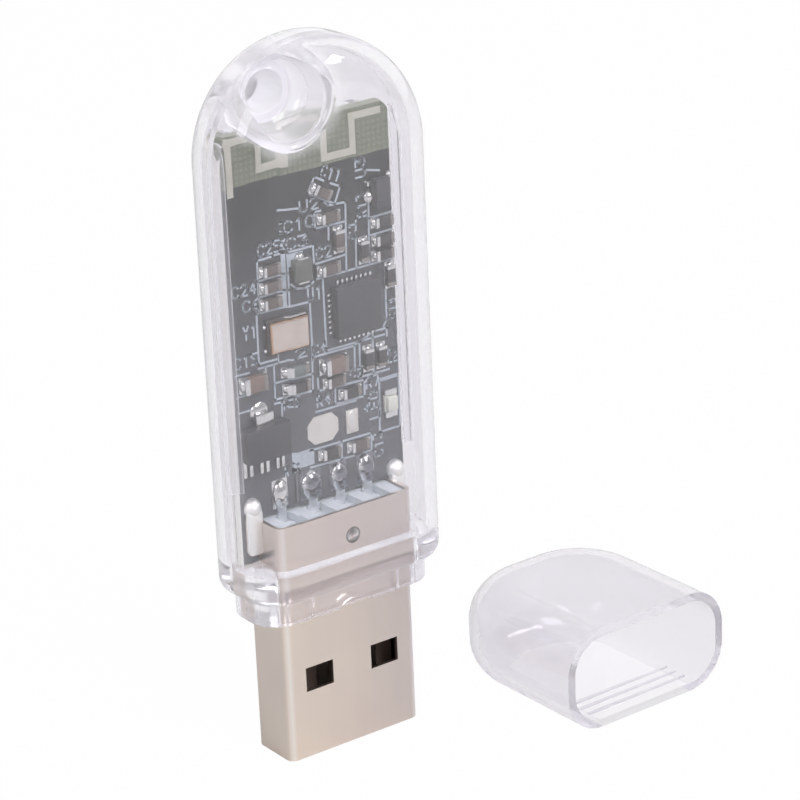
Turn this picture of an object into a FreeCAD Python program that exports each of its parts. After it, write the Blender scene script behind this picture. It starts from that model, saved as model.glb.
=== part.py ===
import FreeCAD, Part

import math
import os
import re

import Sketcher

# USB signal repeater: a clear two-part case with its circuit board and USB plug, and its clear cap beside it.
# Frame: origin at the middle of the plug's tip, +X right, +Y back, +Z up along the stick. Millimetres.

doc = FreeCAD.newDocument("SignalRepeater")
sheet = doc.addObject("Spreadsheet::Sheet", "Sizes")

SIZES = {
    # plug: shell of a standard type A plug
    "plug_width": 12.0,
    "plug_depth": 4.5,
    "plug_length": 19.3,
    "plug_exposed": 11.7,
    "shell_wall": 0.3,
    "shell_corner": 0.6,
    "window_width": 2.5,
    "window_height": 1.95,
    "window_spacing": 6.04,
    "window_start": 5.4,
    "dimple_across": 0.4,
    "dimple_drop": 2.2,
    "dimple_bore": 1.1,
    "dimple_sink": 0.15,
    "ear_width": 1.2,
    "ear_length": 3.4,
    "ear_rise": 0.7,
    "seam_gap": 0.08,
    # insulator and contacts
    "insulator_fit": 0.05,
    "insulator_block": 7.5,
    "insulator_sink": 0.2,
    "tongue_start": 0.5,
    "tongue_side_gap": 0.2,
    "contact_face": 0.35,
    "contact_thickness": 0.25,
    "contact_width": 1.0,
    "contact_start": 1.2,
    "contact_inner": 1.0,
    "contact_outer": 3.5,
    "tail_shift": 0.25,
    "tail_width": 0.8,
    "tail_length": 2.2,
    "slot_fit": 0.05,
    "pocket_width": 1.5,
    "pocket_sink": 0.6,
    "solder_width": 1.5,
    "solder_length": 2.4,
    "solder_height": 0.55,
    "solder_rise": 1.4,
    "ear_solder_radius": 0.75,
    "ear_solder_height": 0.6,
    # case
    "case_side_step": 1.0,
    "case_face_step": 1.2,
    "case_height": 41.8,
    "case_wall": 0.9,
    "edge_flat": 0.9,
    "shoulder_radius": 1.2,
    "floor_thickness": 2.4,
    "neck_side_wall": 1.7,
    "neck_face_wall": 0.75,
    "neck_height": 1.8,
    "neck_radius": 2.5,
    "plug_fit": 0.1,
    "cover_joint": 0.02,
    "notch_width": 2.8,
    "notch_height": 0.6,
    "notch_sink": 0.3,
    "groove_width": 0.25,
    "groove_sink": 0.15,
    "groove_across": 3.9,
    # lanyard eyelet
    "eyelet_bore": 3.2,
    "eyelet_edge": 0.7,
    "eyelet_turn": 35.3,
    "eyelet_wall": 0.85,
    "bowl_floor": 0.3,
    "bowl_corner": 1.3,
    "bowl_rim": 0.9,
    "rim_lift": 0.08,
    "boss_corner": 1.3,
    "back_rim": 0.5,
    # ledges in front of the board and ribs behind it
    "ledge_reach": 0.1,
    "ledge_depth": 0.45,
    "rib_start": 6.0,
    "rib_end_gap": 0.3,
    "rib_fit": 0.05,
    "back_rib_width": 0.8,
    "back_rib_inset": 1.6,
    # circuit board
    "board_side_gap": 0.55,
    "board_top_gap": 0.5,
    "board_seat": 0.05,
    "board_thickness": 1.0,
    "board_front": 0.6,
    "board_corner": 0.6,
    "board_fit": 0.05,
    "edge_gap": 0.1,
    # antenna trace and test pads
    "trace_width": 0.55,
    "trace_thickness": 0.06,
    "pad_thickness": 0.06,
    "octagon_width": 2.8,
    "octagon_height": 2.2,
    "octagon_corner": 0.6,
    "bridge_width": 1.1,
    "bridge_height": 1.9,
    # chip resistors and capacitors
    "chip_length": 1.6,
    "chip_width": 0.8,
    "chip_height": 0.5,
    "chip_end": 0.3,
    "chip_step": 0.03,
    "large_length": 2.0,
    "large_width": 1.25,
    "large_height": 0.8,
    "large_end": 0.4,
    # radio chip
    "radio_size": 4.0,
    "radio_height": 0.8,
    "radio_pitch": 0.42,
    "radio_pad_width": 0.22,
    "radio_pad_reach": 0.12,
    "radio_pad_height": 0.2,
    # crystal
    "crystal_length": 3.3,
    "crystal_width": 2.5,
    "crystal_base": 0.45,
    "lid_length": 2.95,
    "lid_width": 2.15,
    "lid_height": 0.3,
    # voltage regulator
    "regulator_length": 4.0,
    "regulator_width": 2.6,
    "regulator_height": 1.3,
    "regulator_standoff": 0.1,
    "lead_thickness": 0.3,
    "lead_reach": 1.05,
    "lead_width": 0.45,
    "middle_lead_width": 0.55,
    "lead_pitch": 1.6,
    "tab_width": 1.7,
    "tab_reach": 0.7,
    "tab_solder_radius": 1.0,
    "tab_solder_height": 0.55,
    # small supply chip, filter and status lamp
    "supply_length": 2.2,
    "supply_width": 1.3,
    "supply_height": 0.8,
    "supply_lead_reach": 0.4,
    "supply_lead_width": 0.4,
    "supply_lead_height": 0.2,
    "filter_width": 1.6,
    "filter_length": 2.0,
    "filter_height": 0.6,
    "lamp_length": 2.0,
    "lamp_width": 1.1,
    "lamp_height": 0.6,
    "lamp_end": 0.35,
    "lamp_end_height": 0.25,
    # cap
    "cap_wall": 0.7,
    "cap_side_room": 1.2,
    "cap_face_room": 1.2,
    "cap_end_room": 3.8,
    "cap_end_radius": 6.5,
    "cap_edge_radius": 3.4,
    "cap_across": 20.1,
    "cap_back": -13.0,
    "cap_turn": 1.0,
}

for row, (name, number) in enumerate(SIZES.items(), 1):
    sheet.set(f"A{row}", name)
    sheet.set(f"B{row}", str(number))
    sheet.setAlias(f"B{row}", name)
doc.recompute()

# Sizes that follow from others: the neck wraps the plug, the case steps out from the neck, the cap covers
# the plug up to the neck, and the board stands between the case's floor and the eyelet.
DERIVED = {
    "neck_width": "(plug_width + 2*plug_fit + 2*neck_side_wall)",
    "neck_depth": "(plug_depth + 2*plug_fit + 2*neck_face_wall)",
    "case_width": "(neck_width + 2*case_side_step)",
    "case_depth": "(neck_depth + 2*case_face_step)",
    "case_start": "(plug_exposed + neck_height)",
    "case_floor": "(case_start + floor_thickness)",
    "dome_middle": "(case_start + case_height - case_width/2)",
    "eyelet_reach": "(case_width/2 - eyelet_edge - eyelet_bore/2)",
    "eyelet_left": "(eyelet_reach * sin(eyelet_turn))",
    "eyelet_level": "(dome_middle + eyelet_reach * cos(eyelet_turn))",
    "tube_radius": "(eyelet_bore/2 + eyelet_wall)",
    "bowl_radius": "(eyelet_bore/2 + bowl_corner)",
    "boss_radius": "(tube_radius + boss_corner)",
    "lens_radius": "((notch_width^2/4 + notch_height^2) / (2*notch_height))",
    "dimple_radius": "((dimple_bore^2/4 + dimple_sink^2) / (2*dimple_sink))",
    "ear_top": "(plug_length + ear_rise)",
    "block_half_width": "(plug_width/2 - shell_wall - insulator_fit)",
    "block_half_depth": "(plug_depth/2 - shell_wall - insulator_fit)",
    "tongue_half": "(plug_width/2 - shell_wall - tongue_side_gap)",
    "block_top": "(plug_length - insulator_sink)",
    "pin_start": "(block_top - pocket_sink)",
    "board_half": "(case_width/2 - case_wall - board_side_gap)",
    "board_back": "(board_front + board_thickness)",
    "board_bottom": "(case_floor + board_seat)",
    "board_top": "(eyelet_level - tube_radius - board_top_gap)",
    "board_notch": "(plug_length + board_fit)",
    "notch_half": "(plug_width/2 + board_fit)",
    "rib_bottom": "(case_floor + rib_start)",
    "rib_height": "(board_top - rib_end_gap - rib_bottom)",
    "back_rib_near": "(board_half - back_rib_inset - back_rib_width/2)",
    "cap_half_width": "(plug_width/2 + cap_side_room + cap_wall)",
    "cap_half_depth": "(plug_depth/2 + cap_face_room + cap_wall)",
    "cap_length": "(plug_exposed + cap_end_room + cap_wall)",
}

pieces = []


def cells(text):
    """Point each size named in a formula at its cell: sizes are the words joined by an underscore."""
    return re.sub(r"[a-z]+(?:_[a-z]+)+", cell, text)


def cell(word):
    name = word.group()
    return cells(DERIVED[name]) if name in DERIVED else "Sizes." + name


def value(text):
    result = sheet.evalExpression(cells(text))
    return float(getattr(result, "Value", result))


def bind(thing, prop, text):
    thing.setExpression(prop, cells(text))


def place(thing, x="0", y="0", z="0"):
    bind(thing, "Placement.Base.x", x)
    bind(thing, "Placement.Base.y", y)
    bind(thing, "Placement.Base.z", z)
    return thing


def piece(thing, label):
    """Name a finished sub-part: its label is its file's name."""
    thing.Label = label
    pieces.append(thing)
    return thing


def body(name):
    return doc.addObject("PartDesign::Body", name)


def outline(owner, name, role, rise, corners):
    """Closed sketch on one of the body's planes. A corner is (x, y) after a straight edge, or
    (x, y, centre x, centre y, held axis, turn) after an arc, with turn 1 to the left and -1 to the right."""
    sketch = owner.newObject("Sketcher::SketchObject", name)
    base = [item for item in owner.Origin.OriginFeatures if item.Role == role][0]
    sketch.AttachmentSupport = [(base, "")]
    sketch.MapMode = "FlatFace"
    bind(sketch, "AttachmentOffset.Base.z", rise)
    spots = [FreeCAD.Vector(value(corner[0]), value(corner[1]), 0) for corner in corners]
    ends = []
    for index, corner in enumerate(corners):
        start = spots[index - 1]
        end = spots[index]
        if len(corner) == 2:
            sketch.addGeometry(Part.LineSegment(start, end), False)
            ends.append((1, 2))
            continue
        centre = FreeCAD.Vector(value(corner[2]), value(corner[3]), 0)
        first, last = (start, end) if corner[5] > 0 else (end, start)
        circle = Part.Circle(centre, FreeCAD.Vector(0, 0, 1), (start - centre).Length)
        angles = [math.atan2(spot.y - centre.y, spot.x - centre.x) for spot in (first, last)]
        if angles[1] <= angles[0]:
            angles[1] += 2 * math.pi
        sketch.addGeometry(Part.ArcOfCircle(circle, angles[0], angles[1]), False)
        ends.append((1, 2) if corner[5] > 0 else (2, 1))
    count = len(corners)
    for index in range(count):
        following = (index + 1) % count
        joint = ("Coincident", index, ends[index][1], following, ends[following][0])
        sketch.addConstraint(Sketcher.Constraint(*joint))
    for index, corner in enumerate(corners):
        hold(sketch, "DistanceX", index, ends[index][1], corner[0])
        hold(sketch, "DistanceY", index, ends[index][1], corner[1])
        if len(corner) > 2 and corner[4] == "X":
            hold(sketch, "DistanceX", index, 3, corner[2])
        if len(corner) > 2 and corner[4] == "Y":
            hold(sketch, "DistanceY", index, 3, corner[3])
    return sketch


def hold(sketch, kind, geometry, point, text):
    number = sketch.addConstraint(Sketcher.Constraint(kind, -1, 1, geometry, point, value(text)))
    sketch.setExpression(f"Constraints[{number}]", cells(text))


def rectangle(left, bottom, right, top):
    return [(left, bottom), (right, bottom), (right, top), (left, top)]


def rounded(half_width, half_depth, corner):
    """Corners of a rounded rectangle about the middle."""
    flat_x = f"({half_width} - {corner})"
    flat_y = f"({half_depth} - {corner})"
    far_x = f"({half_width})"
    far_y = f"({half_depth})"
    return [
        (far_x, "-" + flat_y, flat_x, "-" + flat_y, "X", 1),
        (far_x, flat_y),
        (flat_x, far_y, flat_x, flat_y, "X", 1),
        ("-" + flat_x, far_y),
        ("-" + far_x, flat_y, "-" + flat_x, flat_y, "X", 1),
        ("-" + far_x, "-" + flat_y),
        ("-" + flat_x, "-" + far_y, "-" + flat_x, "-" + flat_y, "X", 1),
        (flat_x, "-" + far_y),
    ]


def pad(owner, name, profile, length, side="One side"):
    feature = owner.newObject("PartDesign::Pad", name)
    feature.Profile = profile
    bind(feature, "Length", length)
    feature.SideType = side
    return feature


def pocket(owner, name, profile, length, side="One side"):
    feature = owner.newObject("PartDesign::Pocket", name)
    feature.Profile = profile
    bind(feature, "Length", length)
    feature.SideType = side
    return feature


def turned(owner, name, profile):
    feature = owner.newObject("PartDesign::Revolution", name)
    feature.Profile = profile
    feature.ReferenceAxis = (profile, ["V_Axis"])
    feature.Angle = 360
    return feature


def fillet(owner, name, base, radius, choose):
    """Round the edges that the test picks."""
    doc.recompute()
    edges = [f"Edge{index + 1}" for index, edge in enumerate(base.Shape.Edges) if choose(edge)]
    feature = owner.newObject("PartDesign::Fillet", name)
    feature.Base = (base, edges)
    bind(feature, "Radius", radius)
    return feature


def box(name, x, y, z, length, width, height):
    """Box from its lowest corner."""
    thing = doc.addObject("Part::Box", name)
    bind(thing, "Length", length)
    bind(thing, "Width", width)
    bind(thing, "Height", height)
    return place(thing, x, y, z)


def fuse(name, shapes):
    thing = doc.addObject("Part::MultiFuse", name)
    thing.Shapes = shapes
    thing.Refine = True
    return thing


def cut(name, base, tool):
    thing = doc.addObject("Part::Cut", name)
    thing.Base = base
    thing.Tool = tool
    return thing


def common(name, base, tool):
    thing = doc.addObject("Part::Common", name)
    thing.Base = base
    thing.Tool = tool
    return thing


# Plug shell: a drawn steel box with two windows in each face, a pressed dimple and two ears on the board.
shell_body = body("ShellBody")
shell_tube = pad(shell_body, "ShellTube", outline(shell_body, "ShellOutline", "XY_Plane", "0",
                 rounded("plug_width/2", "plug_depth/2", "shell_corner")), "plug_length")
pocket(shell_body, "ShellBore", outline(shell_body, "ShellInside", "XY_Plane", "plug_length",
       rounded("(plug_width/2 - shell_wall)", "(plug_depth/2 - shell_wall)", "(shell_corner - shell_wall)")),
       "plug_length + 1")
for side, sign in (("Left", "-"), ("Right", "")):
    middle = f"({sign}window_spacing/2)"
    sketch = outline(shell_body, "Window" + side, "XZ_Plane", "0",
                     rectangle(f"{middle} - window_width/2", "window_start",
                               f"{middle} + window_width/2", "window_start + window_height"))
    pocket(shell_body, "Windows" + side, sketch, "plug_depth + 1", "Symmetric")
pocket(shell_body, "SeamCut", outline(shell_body, "SeamOutline", "XZ_Plane", "0",
       rectangle("-seam_gap/2", "-1", "seam_gap/2", "plug_length + 1")), "plug_depth")
ears = []
for side, sign in (("Left", "-"), ("Right", "")):
    ear = body("Ear" + side)
    near = f"({sign}(plug_width/2 - shell_wall/2))"
    far = f"({sign}(plug_width/2 + ear_width))"
    bend = f"({sign}(plug_width/2 + ear_width/2))"
    turn = -1 if sign else 1
    corners = [
        (near, "ear_top - ear_length"),
        (bend, "ear_top - ear_length"),
        (far, "ear_top - ear_length + ear_width/2", bend, "ear_top - ear_length + ear_width/2", "X", turn),
        (far, "ear_top - ear_width/2"),
        (bend, "ear_top", bend, "ear_top - ear_width/2", "X", turn),
        (near, "ear_top"),
    ]
    profile = outline(ear, "EarOutline" + side, "XZ_Plane", "-board_front", corners)
    pad(ear, "EarPad" + side, profile, "shell_wall")
    ears.append(ear)
dimple = doc.addObject("Part::Sphere", "Dimple")
bind(dimple, "Radius", "dimple_radius")
place(dimple, "dimple_across", "-plug_depth/2 + dimple_sink - dimple_radius", "plug_length - dimple_drop")
shell = piece(cut("PlugShell", fuse("ShellWithEars", [shell_body] + ears), dimple), "plug_shell")

# Insulator: the block that fills the inner end of the shell and the tongue that carries the contacts.
block_body = body("InsulatorBody")
block = pad(block_body, "InsulatorBlock",
            outline(block_body, "BlockOutline", "XY_Plane", "block_top - insulator_block",
                    rounded("block_half_width", "block_half_depth",
                            "(shell_corner - shell_wall)")), "insulator_block")
pad(block_body, "InsulatorTongue",
    outline(block_body, "TongueOutline", "XY_Plane", "tongue_start",
            rectangle("-tongue_half", "contact_face", "tongue_half", "block_half_depth")),
    "block_top - insulator_block/2 - tongue_start")
contacts = []
slots = []
for index, sign, blade in ((1, "-", "contact_outer"), (2, "-", "contact_inner"),
                           (3, "", "contact_inner"), (4, "", "contact_outer")):
    blade_x = f"({sign}{blade})"
    tail_x = f"({sign}({blade} + tail_shift))"
    contact = body(f"ContactBody{index}")
    pad(contact, f"ContactBlade{index}",
        outline(contact, f"BladeOutline{index}", "XZ_Plane", "-contact_face",
                rectangle(f"{blade_x} - contact_width/2", "contact_start",
                          f"{blade_x} + contact_width/2", "pin_start + slot_fit*2")),
        "contact_thickness").Reversed = True
    pad(contact, f"ContactTail{index}",
        outline(contact, f"TailOutline{index}", "XZ_Plane", "-contact_face",
                rectangle(f"{tail_x} - tail_width/2", "pin_start",
                          f"{tail_x} + tail_width/2", "plug_length + tail_length")),
        "contact_thickness").Reversed = True
    contacts.append((piece(contact, f"plug_contact_{index}"), tail_x))
    slots.append(box(f"Slot{index}", f"{blade_x} - contact_width/2 - slot_fit", "contact_face - slot_fit",
                     "contact_start - slot_fit", "contact_width + 2*slot_fit",
                     "contact_thickness + 2*slot_fit", "pin_start - contact_start + 2*slot_fit"))
    slots.append(box(f"PinPocket{index}", f"{tail_x} - pocket_width/2", "-plug_depth", "pin_start",
                     "pocket_width", "plug_depth + contact_face + contact_thickness + slot_fit",
                     "pocket_sink + 1"))
piece(cut("PlugInsulator", block_body, fuse("InsulatorSlots", slots)), "plug_insulator")


def case_form(name, inset, start, foot):
    """Solid of the case's stadium outline, drawn in from the outside, with its long edges rounded."""
    owner = body(name)
    half = f"(case_width/2 - {inset})"
    half_depth = value(f"case_depth/2 - {inset}")
    lowest = value(start)
    corners = [
        ("-" + half, start),
        (half, start),
        (half, "dome_middle"),
        ("-" + half, "dome_middle", "0", "dome_middle", "Y", 1),
    ]
    block_pad = pad(owner, name + "Pad", outline(owner, name + "Outline", "XZ_Plane", "0", corners),
                    f"case_depth - 2*{inset}", "Symmetric")
    edge = fillet(owner, name + "Edges", block_pad, f"case_depth/2 - {inset} - edge_flat",
                  lambda line: abs(abs(line.CenterOfMass.y) - half_depth) < 0.01
                  and line.CenterOfMass.z > lowest + 0.01)
    if foot:
        fillet(owner, name + "Foot", edge, foot, lambda line: line.BoundBox.ZMax < lowest + 0.01)
    return owner


# Case: outer form with its neck, less the cavity and the plug's passage, with the eyelet's boss and bore.
outer_form = case_form("OuterForm", "0", "case_start", "shoulder_radius")
cavity_form = case_form("CavityForm", "case_wall", "case_floor", "")
neck_form = body("NeckForm")
pad(neck_form, "NeckPad", outline(neck_form, "NeckOutline", "XY_Plane", "plug_exposed",
    rounded("neck_width/2", "neck_depth/2", "neck_radius")), "neck_height + floor_thickness/2")
passage_form = body("PassageForm")
pad(passage_form, "PassagePad", outline(passage_form, "PassageOutline", "XY_Plane", "plug_exposed - 1",
    rounded("(plug_width/2 + plug_fit)", "(plug_depth/2 + plug_fit)", "(shell_corner + plug_fit)")),
    "neck_height + floor_thickness + 2")
boss_form = body("BossForm")
turned(boss_form, "BossTurn", outline(boss_form, "BossOutline", "XY_Plane", "0", [
    ("0", "-case_depth"),
    ("boss_radius", "-case_depth"),
    ("boss_radius", "-boss_corner"),
    ("tube_radius", "0", "tube_radius", "-boss_corner", "X", 1),
    ("tube_radius", "case_depth"),
    ("0", "case_depth"),
]))
place(boss_form, "-eyelet_left", "0", "eyelet_level")
bore_form = body("BoreForm")
turned(bore_form, "BoreTurn", outline(bore_form, "BoreOutline", "XY_Plane", "0", [
    ("0", "-case_depth"),
    ("bowl_radius + bowl_rim", "-case_depth"),
    ("bowl_radius + bowl_rim", "-(case_depth/2 + rim_lift)"),
    ("bowl_radius", "-(case_depth/2 + rim_lift - bowl_rim)",
     "bowl_radius + bowl_rim", "-(case_depth/2 + rim_lift - bowl_rim)", "X", -1),
    ("bowl_radius", "-(bowl_floor + bowl_corner)"),
    ("eyelet_bore/2", "-bowl_floor", "eyelet_bore/2", "-(bowl_floor + bowl_corner)", "X", 1),
    ("eyelet_bore/2", "case_depth/2 + rim_lift - back_rim"),
    ("eyelet_bore/2 + back_rim", "case_depth/2 + rim_lift",
     "eyelet_bore/2 + back_rim", "case_depth/2 + rim_lift - back_rim", "X", -1),
    ("eyelet_bore/2 + back_rim", "case_depth"),
    ("0", "case_depth"),
]))
place(bore_form, "-eyelet_left", "0", "eyelet_level")
case_blank = fuse("CaseBlank", [outer_form, neck_form])
case_shell = cut("CaseShell", case_blank, fuse("CaseInside", [cavity_form, passage_form]))
case_boss = common("CaseBoss", outer_form, boss_form)
case_master = cut("CaseMaster", fuse("CaseSolid", [case_shell, case_boss]), bore_form)

# The case splits at the middle of its depth into a front and a rear cover.
front_block = box("FrontBlock", "-case_width", "-case_depth", "0",
                  "2*case_width", "case_depth - cover_joint/2", "2*case_height")
rear_block = box("RearBlock", "-case_width", "cover_joint/2", "0",
                 "2*case_width", "case_depth", "2*case_height")
ledges = []
for side, sign in (("Left", "-"), ("Right", "")):
    near = f"({sign}(board_half - ledge_reach))"
    far = f"({sign}case_width/2)"
    low, high = (far, near) if sign else (near, far)
    ledges.append(box("Ledge" + side, low, "board_front - rib_fit - ledge_depth", "rib_bottom",
                      f"{high} - {low}", "ledge_depth", "rib_height"))
back_ribs = [
    box("BackRibLeft", "-back_rib_near - back_rib_width", "board_back + rib_fit", "rib_bottom",
        "back_rib_width", "case_depth/2 - board_back - rib_fit", "rib_height"),
    box("BackRibRight", "back_rib_near", "board_back + rib_fit", "rib_bottom",
        "back_rib_width", "case_depth/2 - board_back - rib_fit", "rib_height"),
]
lens = doc.addObject("Part::Cylinder", "FrontLens")
bind(lens, "Radius", "lens_radius")
bind(lens, "Height", "1 + notch_sink")
lens.Placement.Rotation = FreeCAD.Rotation(FreeCAD.Vector(1, 0, 0), 90)
place(lens, "0", "-neck_depth/2 + notch_sink", "plug_exposed + notch_height - lens_radius")
grooves = [lens]
for side, sign in (("Left", "-"), ("Right", "")):
    grooves.append(box("Groove" + side, f"({sign}groove_across) - groove_width/2", "-neck_depth/2 - 1",
                       "plug_exposed - 1", "groove_width", "groove_sink + 1", "neck_height + 1"))
front_half = common("FrontHalf", case_master, front_block)
rear_half = common("RearHalf", case_master, rear_block)
piece(cut("FrontCover", front_half, fuse("FrontMarks", grooves)), "front_cover")
board_holders = common("BoardHolders", outer_form, fuse("LedgesAndRibs", ledges + back_ribs))
piece(fuse("RearCover", [rear_half, board_holders]), "rear_cover")

# Circuit board: rounded at the top, with a notch at the bottom that the plug's shell stands in.
board = body("BoardBody")
pad(board, "BoardPad", outline(board, "BoardOutline", "XZ_Plane", "-board_front", [
    ("-board_half", "board_bottom"),
    ("-notch_half", "board_bottom"),
    ("-notch_half", "board_notch"),
    ("notch_half", "board_notch"),
    ("notch_half", "board_bottom"),
    ("board_half", "board_bottom"),
    ("board_half", "board_top - board_corner"),
    ("board_half - board_corner", "board_top",
     "board_half - board_corner", "board_top - board_corner", "X", 1),
    ("-(board_half - board_corner)", "board_top"),
    ("-board_half", "board_top - board_corner",
     "-(board_half - board_corner)", "board_top - board_corner", "X", 1),
]), "board_thickness").Reversed = True
piece(board, "circuit_board")

# Places on the board are drawn on a layout 14.7 wide, about its middle, and 29.5 high above the notch,
# and follow the board when its size changes.


def across(number):
    return f"({number} * 2*board_half/14.7)"


def upward(number):
    return f"(board_notch + {number} * (board_top - board_notch)/29.5)"


def on_board(thing, x, z, turn=0):
    """Stand a part on the board's front face, turned clockwise as seen from the front. Its x is a place
    on the layout, or a formula for a part that keeps its distance from the ledge."""
    thing.Placement.Rotation = FreeCAD.Rotation(FreeCAD.Vector(0, 1, 0), turn)
    return place(thing, x if isinstance(x, str) else across(x), "board_front", upward(z))


def block_on(name, x, z, length, height, width):
    """Box about (x, z) that stands out of the board's face by its height."""
    return box(name, f"({x}) - ({length})/2", f"-({height})", f"({z}) - ({width})/2",
               length, height, width)


# Printed antenna: a meander of one copper track, from the left leg to the free end at the right.
TRACK = [
    (-6.65, 25.3, -6.65, 29.05), (-6.65, 29.05, -4.0, 29.05), (-4.0, 29.05, -4.0, 26.6),
    (-4.0, 26.6, -2.0, 26.6), (-2.0, 26.6, -2.0, 29.05), (-2.0, 29.05, 1.45, 29.05),
    (1.45, 29.05, 1.45, 26.3), (1.45, 26.3, 4.0, 26.3), (4.0, 26.3, 4.0, 28.9), (4.0, 28.9, 6.35, 28.9),
]
track_runs = []
for index, (x1, z1, x2, z2) in enumerate(TRACK):
    left, right = sorted((x1, x2))
    low, high = sorted((z1, z2))
    track_runs.append(box(f"Track{index}", f"{across(left)} - trace_width/2", "board_front - trace_thickness",
                          f"{upward(low)} - trace_width/2",
                          f"{across(right)} - {across(left)} + trace_width", "trace_thickness",
                          f"{upward(high)} - {upward(low)} + trace_width"))
piece(fuse("AntennaTrace", track_runs), "antenna_trace")

# Test pads between the regulator and the lamp.
octagon = body("OctagonBody")
corners = []
for sx, sz, first in ((1, -1, False), (1, 1, True), (-1, 1, False), (-1, -1, True)):
    side = (f"{sx}*octagon_width/2", f"{sz}*(octagon_height/2 - octagon_corner)")
    end = (f"{sx}*(octagon_width/2 - octagon_corner)", f"{sz}*octagon_height/2")
    corners += [side, end] if first else [end, side]
pad(octagon, "OctagonPad", outline(octagon, "OctagonOutline", "XZ_Plane", "0", corners), "pad_thickness")
on_board(piece(octagon, "test_pad"), 0.1, 5.55)
bridge_pad = box("BridgeBlock", f"{across(2.75)} - bridge_width/2", "board_front - 2*pad_thickness",
                 f"{upward(5.45)} - bridge_height/2", "bridge_width", "2*pad_thickness", "bridge_height")
piece(bridge_pad, "solder_bridge")

# Chip resistors, capacitors and the inductor: a ceramic block between two metal ends.
SMALL = [
    ("capacitor_c25", -3.53, 18.93, 0),
    ("capacitor_c24", -3.57, 17.69, 0),
    ("capacitor_c6", -3.61, 16.43, 0),
    ("capacitor_c11", 0.98, 23.83, 30),
    ("capacitor_c10", 1.53, 21.80, 0),
    ("capacitor_c1", 2.27, 19.90, 90),
    ("capacitor_c2", 1.34, 17.84, 0),
    ("resistor_r13", 4.46, 18.56, 90),
    ("resistor_r1", 6.31, 20.44, 0),
    ("resistor_r2", 6.32, 19.03, 0),
    ("resistor_r8", 6.26, 17.88, 0),
    ("resistor_r10", 6.75, 16.11, 90),
    ("inductor_l2", -1.94, 10.78, 0),
    ("resistor_r5", -1.88, 9.44, 0),
    ("capacitor_c5", 1.32, 9.05, 0),
    ("resistor_r3", 4.41, 10.07, 90),
    ("resistor_r9", 5.62, 10.01, 90),
    ("resistor_r4", 2.67, 7.84, 0),
    ("resistor_r6", 0.57, 3.50, 0),
    ("capacitor_c13", 3.21, 3.40, 0),
]
LARGE = [
    ("capacitor_c15", -5.70, 10.74, 0),
    ("capacitor_c4", 1.28, 10.42, 0),
]


def chip(name, x, z, turn, kind):
    middle = box(name + "_ceramic", f"-{kind}_length/2 + chip_step", f"-{kind}_height + chip_step",
                 f"-{kind}_width/2 + chip_step", f"{kind}_length - 2*chip_step",
                 f"{kind}_height - chip_step", f"{kind}_width - 2*chip_step")
    ends = [
        box(name + "_end_left", f"-{kind}_length/2", f"-{kind}_height", f"-{kind}_width/2",
            f"{kind}_end", f"{kind}_height", f"{kind}_width"),
        box(name + "_end_right", f"{kind}_length/2 - {kind}_end", f"-{kind}_height",
            f"-{kind}_width/2", f"{kind}_end", f"{kind}_height", f"{kind}_width"),
    ]
    on_board(piece(fuse(name + "_chip", [middle] + ends), name), x, z, turn)


for name, x, z, turn in SMALL:
    chip(name, x, z, turn, "chip")
for name, x, z, turn in LARGE:
    chip(name, x, z, turn, "large")

# Radio chip: a square flat package with eight pads along each side.
radio_parts = [block_on("RadioBlock", "0", "0", "radio_size", "radio_height", "radio_size")]
for index in range(8):
    shift = f"{index - 3.5:.1f}*radio_pitch"
    span = "radio_size + 2*radio_pad_reach"
    radio_parts += [
        block_on(f"RadioRow{index}", "0", shift, span, "radio_pad_height", "radio_pad_width"),
        block_on(f"RadioColumn{index}", shift, "0", "radio_pad_width", "radio_pad_height", span),
    ]
on_board(piece(fuse("RadioPackage", radio_parts), "radio_chip"), 3.48, 14.38)

# Crystal: a ceramic base with a metal lid.
crystal = fuse("CrystalPackage", [
    block_on("CrystalBase", "0", "0", "crystal_length", "crystal_base", "crystal_width"),
    block_on("CrystalLid", "0", "0", "lid_length", "crystal_base + lid_height", "lid_width"),
])
on_board(piece(crystal, "crystal"), -2.6, 13.75)

# Regulator: a moulded body with three leads below and a wide tab above that ends in a round of solder.
regulator_parts = [
    box("RegulatorBlock", "-regulator_length/2", "-regulator_height", "-regulator_width/2",
        "regulator_length", "regulator_height - regulator_standoff", "regulator_width"),
    box("RegulatorTab", "-tab_width/2", "-lead_thickness", "0", "tab_width", "lead_thickness",
        "regulator_width/2 + tab_reach"),
    box("RegulatorMiddle", "-middle_lead_width/2", "-lead_thickness", "-regulator_width/2 - lead_reach",
        "middle_lead_width", "lead_thickness", "regulator_width/2 + lead_reach"),
]
for side, sign in (("Left", "-"), ("Right", "")):
    regulator_parts.append(box("RegulatorLead" + side, f"({sign}lead_pitch) - lead_width/2",
                               "-lead_thickness", "-regulator_width/2 - lead_reach", "lead_width",
                               "lead_thickness", "regulator_width/2 + lead_reach"))


def solder(name, width, length, height):
    """Tapered mound with round ends that stands on the board's face."""
    owner = body(name)
    side = f"({width}/2)"
    bend = f"({length}/2 - {width}/2)"
    profile = outline(owner, name + "Outline", "XZ_Plane", "0", [
        ("-" + side, "-" + bend),
        (side, "-" + bend, "0", "-" + bend, "Y", 1),
        (side, bend),
        ("-" + side, bend, "0", bend, "Y", 1),
    ])
    mound = pad(owner, name + "Pad", profile, height)
    mound.TaperAngle = -40
    return owner


def round_solder(name, radius, height):
    """Round mound of solder that stands on the board's face."""
    thing = doc.addObject("Part::Cone", name)
    bind(thing, "Radius1", radius)
    bind(thing, "Radius2", f"({radius} / 2)")
    bind(thing, "Height", height)
    thing.Placement.Rotation = FreeCAD.Rotation(FreeCAD.Vector(1, 0, 0), 90)
    return thing


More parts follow.
